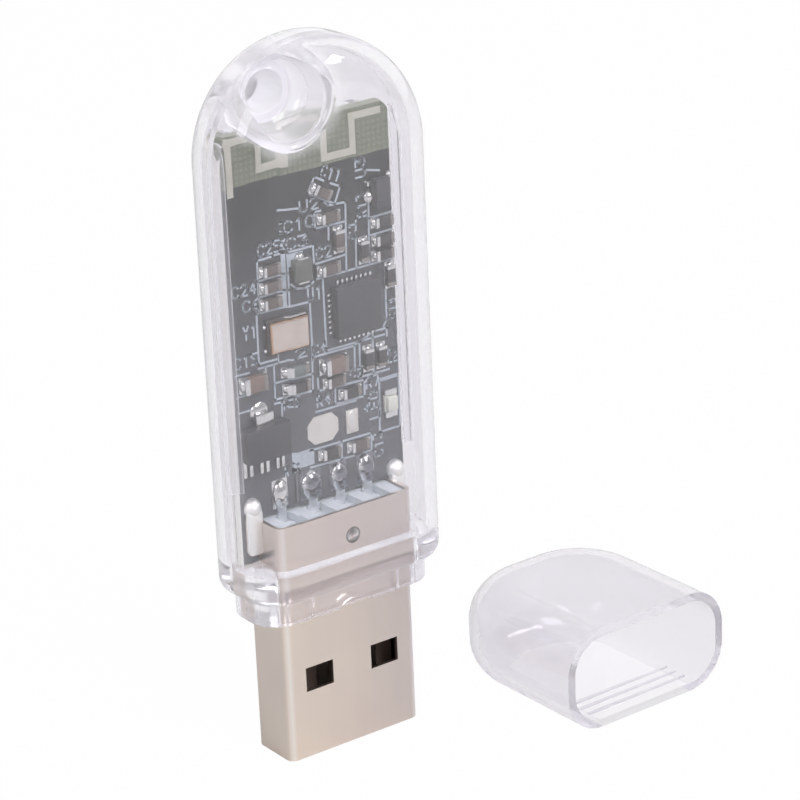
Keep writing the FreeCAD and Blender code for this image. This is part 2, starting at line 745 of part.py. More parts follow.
tab_solder = round_solder("TabSolder", "tab_solder_radius", "tab_solder_height")
regulator_parts.append(place(tab_solder, "0", "0", "regulator_width/2 + tab_reach"))
on_board(piece(fuse("RegulatorPackage", regulator_parts), "regulator"),
         "-(board_half - ledge_reach - edge_gap - regulator_length/2)", 6.15)

# Supply chip, antenna filter and status lamp.
supply = fuse("SupplyPackage", [
    block_on("SupplyBlock", "0", "0", "supply_width", "supply_height", "supply_length"),
    block_on("SupplyLow", "0", "-supply_length/4", "supply_width + 2*supply_lead_reach", "supply_lead_height",
             "supply_lead_width"),
    block_on("SupplyMiddle", "supply_width/4 + supply_lead_reach/2", "0",
             "supply_width/2 + supply_lead_reach", "supply_lead_height", "supply_lead_width"),
    block_on("SupplyHigh", "0", "supply_length/4 + supply_lead_width/2", "supply_width + 2*supply_lead_reach",
             "supply_lead_height", "supply_lead_width"),
])
on_board(piece(supply, "supply_chip"),
         "board_half - ledge_reach - edge_gap - supply_lead_reach - supply_width/2", 22.75)
antenna_filter = box("FilterBlock", f"{across(-1.19)} - filter_width/2", "board_front - filter_height",
                     f"{upward(18.41)} - filter_length/2", "filter_width", "filter_height", "filter_length")
piece(antenna_filter, "antenna_filter")
lamp = fuse("LampPackage", [
    block_on("LampBlock", "0", "0", "lamp_width", "lamp_height", "lamp_length - 2*lamp_end"),
    block_on("LampFoot", "0", "0", "lamp_width", "lamp_end_height", "lamp_length"),
])
on_board(piece(lamp, "status_lamp"), 6.27, 6.04)

# Solder over each contact's tail and at each of the shell's ears.
for index, (contact, tail_x) in enumerate(contacts, 1):
    dome = place(solder(f"ContactDome{index}", "solder_width", "solder_length", "solder_height"),
                 tail_x, "board_front", "board_notch + solder_rise")
    piece(cut(f"ContactSolder{index}", dome, contact), f"contact_solder_{index}")
for side, x, rise in (("left", "-(plug_width/2 + shell_wall/6)", "ear_rise + shell_wall"),
                      ("right", "plug_width/2", "ear_rise - shell_wall/2")):
    mound = round_solder("EarDome_" + side, "ear_solder_radius", "ear_solder_height")
    place(mound, x, "board_front", f"plug_length + {rise}")
    piece(cut("EarSolder_" + side, mound, shell), "shell_solder_" + side)


def cap_form(name, inset, start):
    """Solid of the cap's outline, drawn in from the outside: mouth at the front, closed end rounded."""
    owner = body(name)
    half = f"(cap_half_width - {inset})"
    far = f"(cap_length - {inset})"
    corner = f"(cap_end_radius - {inset})"
    thickness = f"2*(cap_half_depth - {inset})"
    low = value(inset)
    high = low + value(thickness)
    mouth = value(start)
    corners = [
        ("-" + half, start),
        (half, start),
        (half, f"{far} - {corner}"),
        (f"{half} - {corner}", far, f"{half} - {corner}", f"{far} - {corner}", "X", 1),
        (f"-({half} - {corner})", far),
        ("-" + half, f"{far} - {corner}",
         f"-({half} - {corner})", f"{far} - {corner}", "X", 1),
    ]
    profile = outline(owner, name + "Outline", "XY_Plane", inset, corners)
    block_pad = pad(owner, name + "Pad", profile, thickness)
    fillet(owner, name + "Edges", block_pad, f"cap_edge_radius - {inset}",
           lambda line: line.BoundBox.ZMax - line.BoundBox.ZMin < 0.01 and line.BoundBox.YMax > mouth + 0.01
           and min(abs(line.CenterOfMass.z - low), abs(line.CenterOfMass.z - high)) < 0.01)
    return owner


# Cap: it slips over the plug up to the neck, and lies beside the stick on its flat side.
cap = cut("Cap", cap_form("CapOuter", "0", "0"), cap_form("CapInner", "cap_wall", "-1"))
bind(cap, "Placement.Base.x", "cap_across")
bind(cap, "Placement.Base.y", "cap_back")
bind(cap, "Placement.Rotation.Angle", "cap_turn")
piece(cap, "cap")

doc.recompute()
for thing in doc.Objects:
    if "Invalid" in thing.State or "Error" in thing.State:
        raise RuntimeError(f"{thing.Name} did not build: {thing.State}")
for thing in pieces:
    if thing.Shape.isNull() or not thing.Shape.isValid() or not thing.Shape.Solids:
        raise RuntimeError(f"{thing.Label} has no valid shape")

os.makedirs("parts", exist_ok=True)
for thing in pieces:
    thing.Shape.exportStep(f"parts/{thing.Label}.step")
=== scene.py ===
import math

import bmesh
import bpy
from mathutils import Matrix, Vector


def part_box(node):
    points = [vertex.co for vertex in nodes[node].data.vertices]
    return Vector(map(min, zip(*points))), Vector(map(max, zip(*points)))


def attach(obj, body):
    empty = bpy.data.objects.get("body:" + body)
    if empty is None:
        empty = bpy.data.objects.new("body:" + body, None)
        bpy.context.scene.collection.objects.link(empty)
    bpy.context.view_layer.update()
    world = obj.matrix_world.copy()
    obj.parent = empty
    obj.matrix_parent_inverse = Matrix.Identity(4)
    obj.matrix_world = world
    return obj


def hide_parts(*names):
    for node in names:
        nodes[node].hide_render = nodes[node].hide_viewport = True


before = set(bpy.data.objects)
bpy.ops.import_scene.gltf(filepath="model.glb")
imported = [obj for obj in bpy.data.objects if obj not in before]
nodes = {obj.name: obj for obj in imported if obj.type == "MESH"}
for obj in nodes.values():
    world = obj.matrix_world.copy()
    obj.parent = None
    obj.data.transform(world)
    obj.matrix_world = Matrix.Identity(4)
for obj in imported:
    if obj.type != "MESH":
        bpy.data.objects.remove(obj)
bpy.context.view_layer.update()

# Camera: the photograph's view, from the left of the front face and a little above it, through a long lens.
# The distance and the two angles were worked out from the plug, the case's outline and the board.
MM = 0.001
VIEW_TURN = math.radians(35.787)
VIEW_RISE = math.radians(21.316)
VIEW_ROLL = math.radians(-2.49)
VIEW_DISTANCE = 242.357 * MM
VIEW_AIM_ACROSS = 5.802 * MM
VIEW_AIM_HEIGHT = 26.984 * MM
FOCAL_LENGTH_PIXELS = 3268
PHOTO_PIXELS = 800

across = Vector((math.cos(VIEW_TURN), -math.sin(VIEW_TURN), 0))
back = Vector((-math.sin(VIEW_TURN) * math.cos(VIEW_RISE), -math.cos(VIEW_TURN) * math.cos(VIEW_RISE),
               math.sin(VIEW_RISE)))
upward = back.cross(across)
image_right = math.cos(VIEW_ROLL) * across + math.sin(VIEW_ROLL) * upward
image_up = math.cos(VIEW_ROLL) * upward - math.sin(VIEW_ROLL) * across
aim = VIEW_AIM_ACROSS * across + VIEW_AIM_HEIGHT * Vector((0, 0, 1))
camera = bpy.data.objects.new("camera", bpy.data.cameras.new("camera"))
camera.data.lens = camera.data.sensor_width * FOCAL_LENGTH_PIXELS / PHOTO_PIXELS
camera.data.clip_start = 10 * MM
turn_to_view = Matrix((image_right, image_up, back)).transposed().to_4x4()
camera.matrix_world = Matrix.Translation(aim + VIEW_DISTANCE * back) @ turn_to_view
bpy.context.collection.objects.link(camera)
bpy.context.scene.camera = camera
bpy.context.scene.view_settings.view_transform = "Standard"


# Studio: a white table in a white room, as the photograph's plain background, with three soft lamps.
# The camera and shiny or clear surfaces see the room and the table as white; the table keeps a faint shadow.
def linear(code):
    """Scene-linear colour of an sRGB hex value."""
    parts = [int(code[index:index + 2], 16) / 255 for index in (1, 3, 5)]
    return [part / 12.92 if part <= 0.04045 else ((part + 0.055) / 1.055) ** 2.4 for part in parts] + [1.0]


def add(tree, kind, settings=None, links=None):
    """Add a node with its settings and links. An input goes by its name or its number."""
    node = tree.nodes.new(kind)
    for name, setting in (settings or {}).items():
        if isinstance(name, int) or name in node.inputs:
            node.inputs[name].default_value = setting
        else:
            setattr(node, name, setting)
    for name, output in (links or {}).items():
        tree.links.new(output, node.inputs[name])
    return node


def material_tree(name):
    """A new material with an empty node tree."""
    material = bpy.data.materials.new(name)
    material.use_nodes = True
    material.node_tree.nodes.clear()
    return material, material.node_tree


ROOM_LIGHT = 0.62
# What a shiny surface sees in front of the object is darker, as behind a photographer.
FRONT_WALL = 0.5
room = bpy.data.worlds.new("white_room")
room.use_nodes = True
room_tree = room.node_tree
room_tree.nodes.clear()
path = add(room_tree, "ShaderNodeLightPath")
seen = add(room_tree, "ShaderNodeMath", {"operation": "MAXIMUM"},
           {0: path.outputs["Is Camera Ray"], 1: path.outputs["Is Glossy Ray"]})
seen = add(room_tree, "ShaderNodeMath", {"operation": "MAXIMUM"},
           {0: seen.outputs[0], 1: path.outputs["Is Transmission Ray"]})
level = add(room_tree, "ShaderNodeMapRange", {"To Min": ROOM_LIGHT, "To Max": 1.0},
            {"Value": seen.outputs[0]})
place = add(room_tree, "ShaderNodeTexCoord")
way = add(room_tree, "ShaderNodeSeparateXYZ", links={0: place.outputs["Generated"]})
front_wall = add(room_tree, "ShaderNodeMapRange",
                 {"From Min": -0.8, "From Max": 0.1, "To Min": FRONT_WALL, "To Max": 1.0},
                 {"Value": way.outputs["Y"]})
mirrored = add(room_tree, "ShaderNodeMix", {"data_type": "FLOAT", 2: 1.0},
               {0: path.outputs["Is Glossy Ray"], 3: front_wall.outputs["Result"]})
strength = add(room_tree, "ShaderNodeMath", {"operation": "MULTIPLY"},
               {0: level.outputs["Result"], 1: mirrored.outputs[0]})
white_room = add(room_tree, "ShaderNodeBackground", {"Color": linear("#ffffff")},
                 {"Strength": strength.outputs[0]})
add(room_tree, "ShaderNodeOutputWorld", links={"Surface": white_room.outputs[0]})
bpy.context.scene.world = room

TABLE_HALF = 1500 * MM
TABLE_SHADOW = 0.02
white_table, tree = material_tree("white_laminate_table")
matt = add(tree, "ShaderNodeBsdfDiffuse", {"Color": linear("#dfdfdf")})
glow = add(tree, "ShaderNodeEmission", {"Color": linear("#ffffff"), "Strength": 1.0})
path = add(tree, "ShaderNodeLightPath")
seen = add(tree, "ShaderNodeMath", {"operation": "MAXIMUM"},
           {0: path.outputs["Is Camera Ray"], 1: path.outputs["Is Transmission Ray"]})
share = add(tree, "ShaderNodeMath", {"operation": "MULTIPLY", 1: 1 - TABLE_SHADOW}, {0: seen.outputs[0]})
table_mix = add(tree, "ShaderNodeMixShader",
                links={0: share.outputs[0], 1: matt.outputs[0], 2: glow.outputs[0]})
add(tree, "ShaderNodeOutputMaterial", links={"Surface": table_mix.outputs[0]})
table_mesh = bpy.data.meshes.new("table")
table_mesh.from_pydata([(x * TABLE_HALF, y * TABLE_HALF, 0) for x, y in ((-1, -1), (1, -1), (1, 1), (-1, 1))],
                       [], [(0, 1, 2, 3)])
table_mesh.materials.append(white_table)
table = bpy.data.objects.new("table", table_mesh)
bpy.context.collection.objects.link(table)


def softbox(name, place, size, power):
    """Square lamp that faces the middle of the stick. Place and size in millimetres."""
    lamp = bpy.data.objects.new(name, bpy.data.lights.new(name, "AREA"))
    lamp.data.size = size * MM
    lamp.data.energy = power
    lamp.location = Vector(place) * MM
    lamp.rotation_euler = (lamp.location - aim).to_track_quat("Z", "Y").to_euler()
    bpy.context.collection.objects.link(lamp)


softbox("softbox_front", (50, -400, 400), 300, 1.6)
softbox("softbox_left", (-400, -100, 300), 200, 0.45)
softbox("softbox_right", (290, -180, 400), 90, 0.25)


# Case and cap: clear polycarbonate, injection moulded in polished moulds, the case as two covers that are
# glued face to face. The walls are slightly cloudy, which shows most where they are seen edge on. Round the
# eyelet the mould was left dull, so the scoop is milky.
SCOOP_HAZE = 0.25
SCOOP_REACH = 4.5 * MM
SCOOP_EDGE = 3.2 * MM
EYELET = (-3.756 * MM, 0, 51.805 * MM)
HAZE_CLOUD = 1.6 * MM
HAZE_SHIFT = 2 * MM
POLISHED = 0.03
DULL = 0.15
TRAPPED_AFTER = 2.5
LOST_AFTER = 9.5


def clear_plastic(name, base, wall_haze, edge_haze, tint_density):
    """Clear moulded plastic. Its haze grows towards the eyelet and where the wall is seen edge on."""
    material, tree = material_tree(name)
    place = add(tree, "ShaderNodeTexCoord")
    flat_place = add(tree, "ShaderNodeVectorMath", {"operation": "MULTIPLY", 1: (1, 0, 1)},
                     {0: place.outputs["Object"]})
    distance = add(tree, "ShaderNodeVectorMath", {"operation": "DISTANCE", 1: EYELET},
                   {0: flat_place.outputs[0]})
    ripple = add(tree, "ShaderNodeTexNoise", {"Scale": 1 / HAZE_CLOUD, "Detail": 2.0},
                 {"Vector": place.outputs["Object"]})
    reach = add(tree, "ShaderNodeMath", {"operation": "MULTIPLY_ADD", 1: HAZE_SHIFT},
                {0: ripple.outputs[0], 2: distance.outputs["Value"]})
    scoop = add(tree, "ShaderNodeMapRange", {
        "From Min": SCOOP_EDGE + HAZE_SHIFT / 2, "From Max": SCOOP_REACH + HAZE_SHIFT / 2,
        "To Min": SCOOP_HAZE, "To Max": wall_haze}, {"Value": reach.outputs[0]})
    dullness = add(tree, "ShaderNodeMapRange", {
        "From Min": wall_haze, "From Max": SCOOP_HAZE, "To Min": POLISHED, "To Max": DULL},
        {"Value": scoop.outputs["Result"]})
    grazing = add(tree, "ShaderNodeLayerWeight", {"Blend": 0.5})
    steep = add(tree, "ShaderNodeMath", {"operation": "POWER", 1: 3.0}, {0: grazing.outputs["Facing"]})
    clearness = add(tree, "ShaderNodeMath", {"operation": "SUBTRACT", 0: 1.0}, {1: scoop.outputs["Result"]})
    clearness = add(tree, "ShaderNodeMath", {"operation": "MULTIPLY_ADD", 1: -edge_haze},
                    {0: steep.outputs[0], 2: clearness.outputs[0]})
    wall = add(tree, "ShaderNodeBsdfPrincipled", {"Base Color": linear(base), "IOR": 1.5},
               {"Roughness": dullness.outputs["Result"], "Transmission Weight": clearness.outputs[0]})
    open_air = add(tree, "ShaderNodeBsdfTransparent", {"Color": linear("#f6f5f8")})
    # Light that has bounced about inside the walls three times leaves them, as it does from real, slightly
    # cloudy ones. The absorption makes long ways through a wall a cool grey.
    path = add(tree, "ShaderNodeLightPath")
    trapped = add(tree, "ShaderNodeMath", {"operation": "GREATER_THAN", 1: TRAPPED_AFTER},
                  {0: path.outputs["Glossy Depth"]})
    lost = add(tree, "ShaderNodeMath", {"operation": "GREATER_THAN", 1: LOST_AFTER},
               {0: path.outputs["Ray Depth"]})
    leaving = add(tree, "ShaderNodeMath", {"operation": "MAXIMUM"},
                  {0: trapped.outputs[0], 1: lost.outputs[0]})
    leaving = add(tree, "ShaderNodeMath", {"operation": "MAXIMUM"},
                  {0: leaving.outputs[0], 1: path.outputs["Is Shadow Ray"]})
    lit = add(tree, "ShaderNodeMixShader",
              links={0: leaving.outputs[0], 1: wall.outputs[0], 2: open_air.outputs[0]})
    tint = add(tree, "ShaderNodeVolumeAbsorption", {"Color": linear("#c8c7d0"), "Density": tint_density})
    add(tree, "ShaderNodeOutputMaterial", links={"Surface": lit.outputs[0], "Volume": tint.outputs[0]})
    return material


def dress(name, material):
    """Give a CAD node one material."""
    for material_slot in nodes[name].material_slots:
        material_slot.material = material


case_polycarbonate = clear_plastic("clear_polycarbonate_case", "#f4f3f6", 0.026, 0.48, 12.0)
cap_polycarbonate = clear_plastic("clear_polycarbonate_cap", "#ebe9ed", 0.035, 0.62, 6.0)
dress("front_cover", case_polycarbonate)
dress("rear_cover", case_polycarbonate)
dress("cap", cap_polycarbonate)

# Plug shell: sheet steel, folded and plated with nickel. The plating is satin and a soft warm grey, with faint
# rub marks along the plug, and its colour is a painted reflection that turns cooler to the right. The narrow
# sides are painted a shade darker, the folds carry a painted highlight, and the dimple has a painted dark ring
# and painted shade under its upper lip, with a smoother, bright floor.
RUB_LENGTH = 30 * MM
RUB_SPACING = 1.6 * MM
DIMPLE = (0.4 * MM, -2.25 * MM, 17.1 * MM)
DIMPLE_RADIUS = 0.68 * MM
SATIN = 0.3
STRUCK_BRIGHT = 0.05
STAIN = 5 * MM
nickel_plated_steel, tree = material_tree("nickel_plated_steel")
place = add(tree, "ShaderNodeTexCoord")
along = add(tree, "ShaderNodeMapping", {"Scale": (1 / RUB_SPACING, 1 / RUB_SPACING, 1 / RUB_LENGTH)},
            {"Vector": place.outputs["Object"]})
rubs = add(tree, "ShaderNodeTexNoise", {"Scale": 1.0, "Detail": 3.0}, {"Vector": along.outputs[0]})
cloud = add(tree, "ShaderNodeTexNoise", {"Scale": 1 / STAIN, "Detail": 1.0},
            {"Vector": place.outputs["Object"]})
both = add(tree, "ShaderNodeMixRGB", {0: 0.6}, {1: rubs.outputs[0], 2: cloud.outputs[0]})
part = add(tree, "ShaderNodeSeparateXYZ", links={0: place.outputs["Object"]})
# Painted reflection: the plating's colour is painted from warm on the left to cool on the right, half mixed
# with the rub marks and stains.
right = add(tree, "ShaderNodeMapRange", {"From Min": -7 * MM, "From Max": 7 * MM},
            {"Value": part.outputs["X"]})
rubs_and_painted_cooling = add(tree, "ShaderNodeMixRGB", {0: 0.5}, {1: both.outputs[0], 2: right.outputs["Result"]})
plating = add(tree, "ShaderNodeMixRGB", {1: linear("#efe0d1"), 2: linear("#c8bebe")}, {0: rubs_and_painted_cooling.outputs[0]})
from_dimple = add(tree, "ShaderNodeVectorMath", {"operation": "DISTANCE", 1: DIMPLE},
                  {0: place.outputs["Object"]})
rim = add(tree, "ShaderNodeMapRange", {
    "From Min": DIMPLE_RADIUS * 0.6, "From Max": DIMPLE_RADIUS, "To Min": 1.0, "To Max": 0.0},
    {"Value": from_dimple.outputs["Value"]})
satin = add(tree, "ShaderNodeMapRange", {"To Min": SATIN, "To Max": STRUCK_BRIGHT},
            {"Value": rim.outputs["Result"]})
# Painted shade: a dark ring round the dimple's edge and dark colour under its upper lip.
edge = add(tree, "ShaderNodeMath", {"operation": "PINGPONG", 1: 0.5}, {0: rim.outputs["Result"]})
painted_ring_shade = add(tree, "ShaderNodeMapRange", {"From Max": 0.3}, {"Value": edge.outputs[0]})
painted_lip_shade = add(tree, "ShaderNodeMapRange",
                {"From Min": DIMPLE[2] - 0.25 * MM, "From Max": DIMPLE[2] + 0.15 * MM},
                {"Value": part.outputs["Z"]})
painted_pit_shade = add(tree, "ShaderNodeMath", {"operation": "MULTIPLY"},
          {0: rim.outputs["Result"], 1: painted_lip_shade.outputs["Result"]})
shade = add(tree, "ShaderNodeMath", {"operation": "MAXIMUM"}, {0: painted_ring_shade.outputs["Result"], 1: painted_pit_shade.outputs[0]})
with_painted_dimple_shade = add(tree, "ShaderNodeMixRGB", {2: linear("#5b514c")}, {0: shade.outputs[0], 1: plating.outputs[0]})
facing = add(tree, "ShaderNodeNewGeometry")
face = add(tree, "ShaderNodeSeparateXYZ", links={0: facing.outputs["Normal"]})
side = add(tree, "ShaderNodeMath", {"operation": "ABSOLUTE"}, {0: face.outputs["X"]})
# Painted shade: the narrow sides, where the normal points along x, are painted a shade darker.
painted_side_shade = add(tree, "ShaderNodeMapRange", {"From Min": 0.8, "From Max": 1.0, "To Max": 0.2},
            {"Value": side.outputs[0]})
with_painted_side_shade = add(tree, "ShaderNodeMixRGB", {2: linear("#50403c")},
             {0: painted_side_shade.outputs["Result"], 1: with_painted_dimple_shade.outputs[0]})
# Painted highlight: the rounded folds between the faces are painted toward white.
painted_fold_highlight = add(tree, "ShaderNodeMath", {"operation": "PINGPONG", 1: 0.45}, {0: side.outputs[0]})
with_painted_fold_highlight = add(tree, "ShaderNodeMixRGB", {2: linear("#ffffff")}, {0: painted_fold_highlight.outputs[0], 1: with_painted_side_shade.outputs[0]})
metal = add(tree, "ShaderNodeBsdfPrincipled", {"Metallic": 1.0},
            {"Base Color": with_painted_fold_highlight.outputs[0], "Roughness": satin.outputs["Result"]})
add(tree, "ShaderNodeOutputMaterial", links={"Surface": metal.outputs[0]})
dress("plug_shell", nickel_plated_steel)

# Insulator: a pale nylon block is pressed into the inner end of the shell, and a dark tongue carries the
# contacts. Both are moulded with glass fibre, matt with a fine grain, drawn coarser than the fibres so as to
# show. The tongue's colour is lighter than it looks, because little light reaches it in the shell.
TONGUE_TOP = 11.7 * MM
GRAIN = 0.12 * MM
glass_filled_nylon, tree = material_tree("glass_filled_nylon")
place = add(tree, "ShaderNodeTexCoord")
height = add(tree, "ShaderNodeSeparateXYZ", links={0: place.outputs["Object"]})
upper = add(tree, "ShaderNodeMath", {"operation": "GREATER_THAN", 1: TONGUE_TOP}, {0: height.outputs["Z"]})
grain = add(tree, "ShaderNodeTexNoise", {"Scale": 1 / GRAIN, "Detail": 2.0},
            {"Vector": place.outputs["Object"]})
pale = add(tree, "ShaderNodeMixRGB", {1: linear("#c3cad0"), 2: linear("#d3d9dd")}, {0: grain.outputs[0]})
both = add(tree, "ShaderNodeMixRGB", {1: linear("#84726a")}, {0: upper.outputs[0], 2: pale.outputs[0]})
nylon = add(tree, "ShaderNodeBsdfPrincipled", {"Roughness": 0.55, "IOR": 1.53},
            {"Base Color": both.outputs[0]})
add(tree, "ShaderNodeOutputMaterial", links={"Surface": nylon.outputs[0]})
dress("plug_insulator", glass_filled_nylon)

# Contacts and the antenna: copper alloy with a thin coat of tin, which dulls to a pale warm grey with a soft
# sheen. The same coat covers the test pads. The contacts are pressed into the insulator, and the antenna is
# etched on the board. Fine waves in the coat come from the hot air that levelled it.
COAT_WAVES = 0.8 * MM


def coated_metal(name, light, dark, roughness):
    """Tinned or plated metal with slight waves in its coat."""
    material, tree = material_tree(name)
    place = add(tree, "ShaderNodeTexCoord")
    waves = add(tree, "ShaderNodeTexNoise", {"Scale": 1 / COAT_WAVES, "Detail": 3.0},
                {"Vector": place.outputs["Object"]})
    shade = add(tree, "ShaderNodeMixRGB", {1: linear(light), 2: linear(dark)}, {0: waves.outputs[0]})
    relief = add(tree, "ShaderNodeBump", {"Strength": 0.2, "Distance": 0.05 * MM},
                 {"Height": waves.outputs[0]})
    metal = add(tree, "ShaderNodeBsdfPrincipled", {"Metallic": 1.0, "Roughness": roughness},
                {"Base Color": shade.outputs[0], "Normal": relief.outputs[0]})
    add(tree, "ShaderNodeOutputMaterial", links={"Surface": metal.outputs[0]})
    return material


tinned_copper = coated_metal("tinned_copper", "#f2eee9", "#e0dcd6", 0.5)
antenna_copper = coated_metal("tinned_antenna_copper", "#dcd9cc", "#c6c3b6", 0.5)
tin_solder = coated_metal("tin_solder", "#f2f2f0", "#c2c2c2", 0.14)
tinned_contact = coated_metal("tinned_contact", "#ffffff", "#e0e2e4", 0.3)
dress("antenna_trace", antenna_copper)
dress("test_pad", tinned_copper)
for number in range(1, 5):
    dress(f"plug_contact_{number}", tinned_contact)

# Circuit board: woven glass and epoxy, 1 mm thick, held on the covers' ledges. A satin dark grey solder mask
# covers it up to the antenna, where the bare laminate shows greenish with its weave. The routed sides are pale
# from broken glass, and the sawn top end is the laminate's own colour.
MASK_TOP = 45.1 * MM
WEAVE = 0.45 * MM
MASK_CLOUD = 3 * MM
MASK_WANDER = 0.3 * MM
SHADE_FOOT = 30 * MM
SHADE_TOP = 43 * MM
BOARD_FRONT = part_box("circuit_board")[0][1] / MM
masked_laminate, tree = material_tree("solder_mask_on_glass_epoxy_laminate")
place = add(tree, "ShaderNodeTexCoord")
part = add(tree, "ShaderNodeSeparateXYZ", links={0: place.outputs["Object"]})
facing = add(tree, "ShaderNodeNewGeometry")
face = add(tree, "ShaderNodeSeparateXYZ", links={0: facing.outputs["Normal"]})
flat = add(tree, "ShaderNodeMath", {"operation": "ABSOLUTE"}, {0: face.outputs["Y"]})
on_face = add(tree, "ShaderNodeMath", {"operation": "GREATER_THAN", 1: 0.5}, {0: flat.outputs[0]})
cloud = add(tree, "ShaderNodeTexNoise", {"Scale": 1 / MASK_CLOUD, "Detail": 4.0},
            {"Vector": place.outputs["Object"]})
edge = add(tree, "ShaderNodeMapRange", {"To Min": MASK_TOP - MASK_WANDER, "To Max": MASK_TOP + MASK_WANDER},
           {"Value": cloud.outputs[0]})
below = add(tree, "ShaderNodeMath", {"operation": "LESS_THAN"}, {0: part.outputs["Z"], 1: edge.outputs[0]})
masked = add(tree, "ShaderNodeMath", {"operation": "MULTIPLY"}, {0: on_face.outputs[0], 1: below.outputs[0]})
# Painted shade: the mask is painted darker from SHADE_FOOT up to SHADE_TOP, towards the antenna.
painted_upper_shade = add(tree, "ShaderNodeMapRange", {"From Min": SHADE_FOOT, "From Max": SHADE_TOP},
             {"Value": part.outputs["Z"]})
mask_low = add(tree, "ShaderNodeMixRGB", {1: linear("#44464b"), 2: linear("#5a5c62")}, {0: cloud.outputs[0]})
mask = add(tree, "ShaderNodeMixRGB", {2: linear("#0d0e10")},
           {0: painted_upper_shade.outputs["Result"], 1: mask_low.outputs[0]})
weft = add(tree, "ShaderNodeTexWave", {"bands_direction": "X", "Scale": 0.32 / WEAVE, "Distortion": 0.4},
           {"Vector": place.outputs["Object"]})
warp = add(tree, "ShaderNodeTexWave", {"bands_direction": "Z", "Scale": 0.32 / WEAVE, "Distortion": 0.4},
           {"Vector": place.outputs["Object"]})
cross = add(tree, "ShaderNodeMath", {"operation": "MULTIPLY"},
            {0: weft.outputs["Fac"], 1: warp.outputs["Fac"]})
weave = add(tree, "ShaderNodeMixRGB", {1: linear("#616655"), 2: linear("#7a7f69")}, {0: cross.outputs[0]})
end = add(tree, "ShaderNodeMath", {"operation": "ABSOLUTE"}, {0: face.outputs["Z"]})
sawn = add(tree, "ShaderNodeMixRGB", {1: linear("#f7f6ef"), 2: linear("#8b8e7e")}, {0: end.outputs[0]})
cut = add(tree, "ShaderNodeMixRGB", links={0: on_face.outputs[0], 1: sawn.outputs[0], 2: weave.outputs[0]})
both = add(tree, "ShaderNodeMixRGB", links={0: masked.outputs[0], 1: cut.outputs[0], 2: mask.outputs[0]})
laminate = add(tree, "ShaderNodeBsdfPrincipled", {"Roughness": 0.4, "IOR": 1.55},
               {"Base Color": both.outputs[0]})
add(tree, "ShaderNodeOutputMaterial", links={"Surface": laminate.outputs[0]})
dress("circuit_board", masked_laminate)

# Printing on the board: pale matt epoxy ink, screened over the mask as outlines round the parts and their
# numbers, in lines about 0.17 mm wide. Each line is a flat bar just in front of the board.
INK_WIDTH = 0.17
LETTER_WIDTH = 0.155
INK_LIFT = 0.012
LETTER_GAP = 0.28
INK_MOTTLE = 0.3 * MM
GLYPHS = {
    "C": [[(1, .82), (.75, 1), (.25, 1), (0, .75), (0, .25), (.25, 0), (.75, 0), (1, .18)]],
    "D": [[(0, 0), (0, 1), (.6, 1), (1, .7), (1, .3), (.6, 0), (0, 0)]],
    "E": [[(1, 1), (0, 1), (0, 0), (1, 0)], [(0, .5), (.8, .5)]],
    "L": [[(0, 1), (0, 0), (1, 0)]],
    "R": [[(0, 0), (0, 1), (.75, 1), (1, .8), (1, .62), (.75, .45), (0, .45)], [(.5, .45), (1, 0)]],
    "U": [[(0, 1), (0, .2), (.25, 0), (.75, 0), (1, .2), (1, 1)]],
    "Y": [[(0, 1), (.5, .5), (1, 1)], [(.5, .5), (.5, 0)]],
    "0": [[(.3, 0), (0, .25), (0, .75), (.3, 1), (.7, 1), (1, .75), (1, .25), (.7, 0), (.3, 0)]],
    "1": [[(.25, .8), (.55, 1), (.55, 0)]],
    "2": [[(0, .8), (.25, 1), (.75, 1), (1, .8), (1, .6), (0, 0), (1, 0)]],
    "3": [[(0, 1), (1, 1), (.45, .6), (.8, .55), (1, .35), (1, .2), (.75, 0), (.25, 0), (0, .15)]],
    "4": [[(.75, 0), (.75, 1), (0, .3), (1, .3)]],
    "5": [[(1, 1), (0, 1), (0, .55), (.7, .6), (1, .4), (1, .2), (.7, 0), (0, .05)]],
    "6": [[(.85, 1), (.25, .75), (0, .35), (0, .2), (.25, 0), (.75, 0), (1, .2), (1, .35), (.75, .5),
           (.1, .45)]],
    "7": [[(0, 1), (1, 1), (.35, 0)]],
    "8": [[(.3, .55), (0, .75), (.3, 1), (.7, 1), (1, .75), (.7, .55), (.3, .55), (0, .25), (.3, 0), (.7, 0),
           (1, .25), (.7, .55)]],
    "+": [[(.5, .1), (.5, .9)], [(.1, .5), (.9, .5)]],
}
